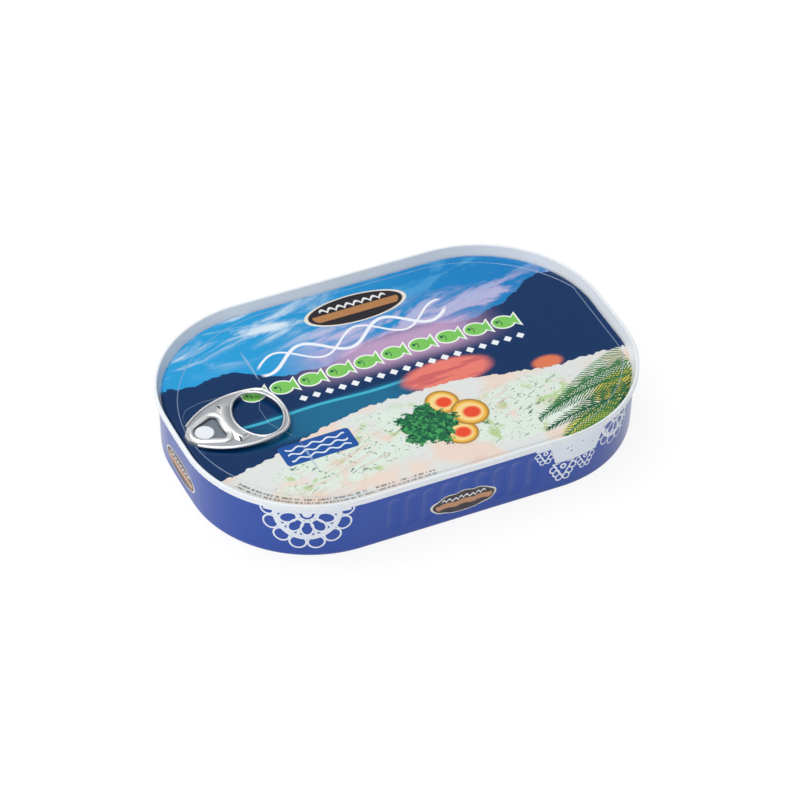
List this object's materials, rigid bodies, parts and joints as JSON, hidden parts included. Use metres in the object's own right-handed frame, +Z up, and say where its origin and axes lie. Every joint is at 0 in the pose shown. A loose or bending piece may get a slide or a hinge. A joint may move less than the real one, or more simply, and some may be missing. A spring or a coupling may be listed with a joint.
{
  "type": "fish tin",
  "caption": "Shut, shallow fish tin with rounded ends: fluted long walls, a seamed countersunk lid with a score line, and a ring-pull tab on a rivet.",
  "frame": {"origin": "middle of the base, on the plane the tin rests on", "axes": "+Z is up out of the lid; X runs along the tin, with the ring-pull tab at its -X end; Y runs across it"},
  "size_m": [0.15, 0.1, 0.0225],
  "materials": {
    "printed_wall": "glossy blue lacquer on steel",
    "printed_lid": "glossy printed lacquer on steel",
    "bare_metal": "bare satin metal, bright on its rolled edges"
  },
  "bodies": {
    "root": {"can_body": "printed_wall", "lid": "printed_lid", "pull_tab": "bare_metal"}
  },
  "joints": []
}
